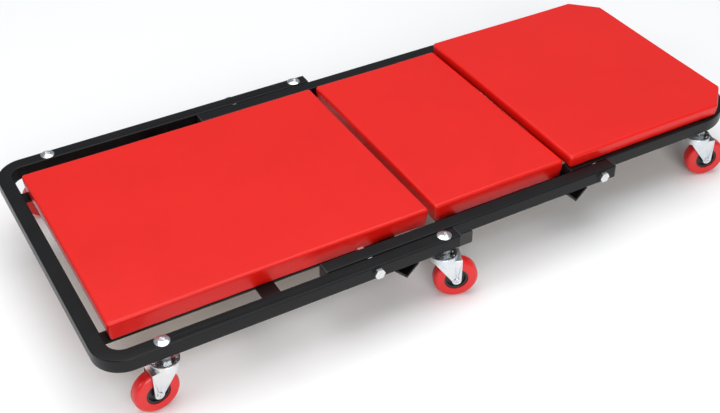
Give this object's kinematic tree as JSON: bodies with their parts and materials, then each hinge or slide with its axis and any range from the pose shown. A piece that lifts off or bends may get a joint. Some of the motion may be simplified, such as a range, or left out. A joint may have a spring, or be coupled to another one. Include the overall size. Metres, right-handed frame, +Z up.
{
  "type": "mechanics creeper",
  "caption": "Low padded creeper on swivel casters, with a three-section tube frame that folds in a Z into a low seat.",
  "frame": {"origin": "on the floor under the middle of the whole creeper laid flat", "axes": "+X from the tail (leg end) to the head, +Y to the rear side, +Z up"},
  "size_m": [1.016, 0.4766, 0.1187],
  "materials": {
    "frame_paint": "black semi-gloss powder coat",
    "pad_vinyl": "red glossy vinyl",
    "pad_foam": "open-cell foam",
    "pad_plywood": "plain plywood",
    "caster_zinc": "bright zinc plate",
    "bolt_zinc": "bright zinc plate",
    "wheel_tread": "red glossy polyurethane",
    "wheel_hub": "black moulded nylon",
    "end_plug": "black moulded polyethylene",
    "washer_nylon": "natural nylon"
  },
  "bodies": {
    "base": {"base_frame": "frame_paint", "base_crossbar": "frame_paint", "base_stop_angle": "frame_paint", "base_pad_straps": "frame_paint", "base_end_plugs": "end_plug", "base_pivot_bolts": "bolt_zinc", "base_pivot_washers": "washer_nylon", "base_caster_bolts": "bolt_zinc", "base_caster_studs": "bolt_zinc", "base_swivel_balls": "bolt_zinc", "back_pad_board": "pad_plywood", "back_pad_foam": "pad_foam", "back_pad_cover": "pad_vinyl", "back_pad_screws": "bolt_zinc"},
    "link": {"link_tube_front": "frame_paint", "link_tube_rear": "frame_paint", "link_cross_tube": "frame_paint", "link_stop_angle": "frame_paint", "link_pad_straps": "frame_paint", "link_end_plugs": "end_plug", "link_pivot_bolts": "bolt_zinc", "link_pivot_washers": "washer_nylon", "middle_pad_board": "pad_plywood", "middle_pad_foam": "pad_foam", "middle_pad_cover": "pad_vinyl", "middle_pad_screws": "bolt_zinc"},
    "head": {"head_frame": "frame_paint", "head_crossbars": "frame_paint", "head_end_plugs": "end_plug", "head_caster_bolts": "bolt_zinc", "head_caster_studs": "bolt_zinc", "head_swivel_balls": "bolt_zinc", "head_pad_board": "pad_plywood", "head_pad_foam": "pad_foam", "head_pad_cover": "pad_vinyl", "head_pad_screws": "bolt_zinc"},
    "tail_front_caster": {"tail_front_fork": "caster_zinc", "tail_front_axle": "bolt_zinc"},
    "tail_front_wheel": {"tail_front_tyre": "wheel_tread", "tail_front_hub": "wheel_hub"},
    "tail_rear_caster": {"tail_rear_fork": "caster_zinc", "tail_rear_axle": "bolt_zinc"},
    "tail_rear_wheel": {"tail_rear_tyre": "wheel_tread", "tail_rear_hub": "wheel_hub"},
    "mid_front_caster": {"mid_front_fork": "caster_zinc", "mid_front_axle": "bolt_zinc"},
    "mid_front_wheel": {"mid_front_tyre": "wheel_tread", "mid_front_hub": "wheel_hub"},
    "mid_rear_caster": {"mid_rear_fork": "caster_zinc", "mid_rear_axle": "bolt_zinc"},
    "mid_rear_wheel": {"mid_rear_tyre": "wheel_tread", "mid_rear_hub": "wheel_hub"},
    "head_front_caster": {"head_front_fork": "caster_zinc", "head_front_axle": "bolt_zinc"},
    "head_front_wheel": {"head_front_tyre": "wheel_tread", "head_front_hub": "wheel_hub"},
    "head_rear_caster": {"head_rear_fork": "caster_zinc", "head_rear_axle": "bolt_zinc"},
    "head_rear_wheel": {"head_rear_tyre": "wheel_tread", "head_rear_hub": "wheel_hub"}
  },
  "joints": [
    {"name": "link_fold", "type": "hinge", "parent": "base", "child": "link", "pos_m": [-0.1446, 0, 0.0892], "axis": [0, -1, 0], "range_deg": [0, 135]},
    {"name": "head_fold", "type": "hinge", "parent": "link", "child": "head", "pos_m": [0.2273, 0, 0.0892], "axis": [0, 1, 0], "range_deg": [0, 135]},
    {"name": "tail_front_swivel", "type": "hinge", "parent": "base", "child": "tail_front_caster", "pos_m": [-0.4295, -0.2145, 0.07], "axis": [0, 0, 1], "continuous": true},
    {"name": "tail_front_roll", "type": "hinge", "parent": "tail_front_caster", "child": "tail_front_wheel", "pos_m": [-0.44661, -0.21621, 0.03], "axis": [0.0993, -0.9951, 0], "continuous": true},
    {"name": "tail_rear_swivel", "type": "hinge", "parent": "base", "child": "tail_rear_caster", "pos_m": [-0.4295, 0.2145, 0.07], "axis": [0, 0, 1], "continuous": true},
    {"name": "tail_rear_roll", "type": "hinge", "parent": "tail_rear_caster", "child": "tail_rear_wheel", "pos_m": [-0.44661, 0.21621, 0.03], "axis": [-0.0993, -0.9951, 0], "continuous": true},
    {"name": "mid_front_swivel", "type": "hinge", "parent": "base", "child": "mid_front_caster", "pos_m": [-0.041, -0.2145, 0.07], "axis": [0, 0, 1], "continuous": true},
    {"name": "mid_front_roll", "type": "hinge", "parent": "mid_front_caster", "child": "mid_front_wheel", "pos_m": [-0.02491, -0.22058, 0.03], "axis": [0.3535, 0.9354, 0], "continuous": true},
    {"name": "mid_rear_swivel", "type": "hinge", "parent": "base", "child": "mid_rear_caster", "pos_m": [-0.041, 0.2145, 0.07], "axis": [0, 0, 1], "continuous": true},
    {"name": "mid_rear_roll", "type": "hinge", "parent": "mid_rear_caster", "child": "mid_rear_wheel", "pos_m": [-0.02491, 0.22058, 0.03], "axis": [-0.3535, 0.9354, 0], "continuous": true},
    {"name": "head_front_swivel", "type": "hinge", "parent": "head", "child": "head_front_caster", "pos_m": [0.4317, -0.1725, 0.07], "axis": [0, 0, 1], "continuous": true},
    {"name": "head_front_roll", "type": "hinge", "parent": "head_front_caster", "child": "head_front_wheel", "pos_m": [0.44823, -0.17724, 0.03], "axis": [0.2756, 0.9613, 0], "continuous": true},
    {"name": "head_rear_swivel", "type": "hinge", "parent": "head", "child": "head_rear_caster", "pos_m": [0.4317, 0.1725, 0.07], "axis": [0, 0, 1], "continuous": true},
    {"name": "head_rear_roll", "type": "hinge", "parent": "head_rear_caster", "child": "head_rear_wheel", "pos_m": [0.44823, 0.17724, 0.03], "axis": [-0.2756, 0.9613, 0], "continuous": true}
  ]
}
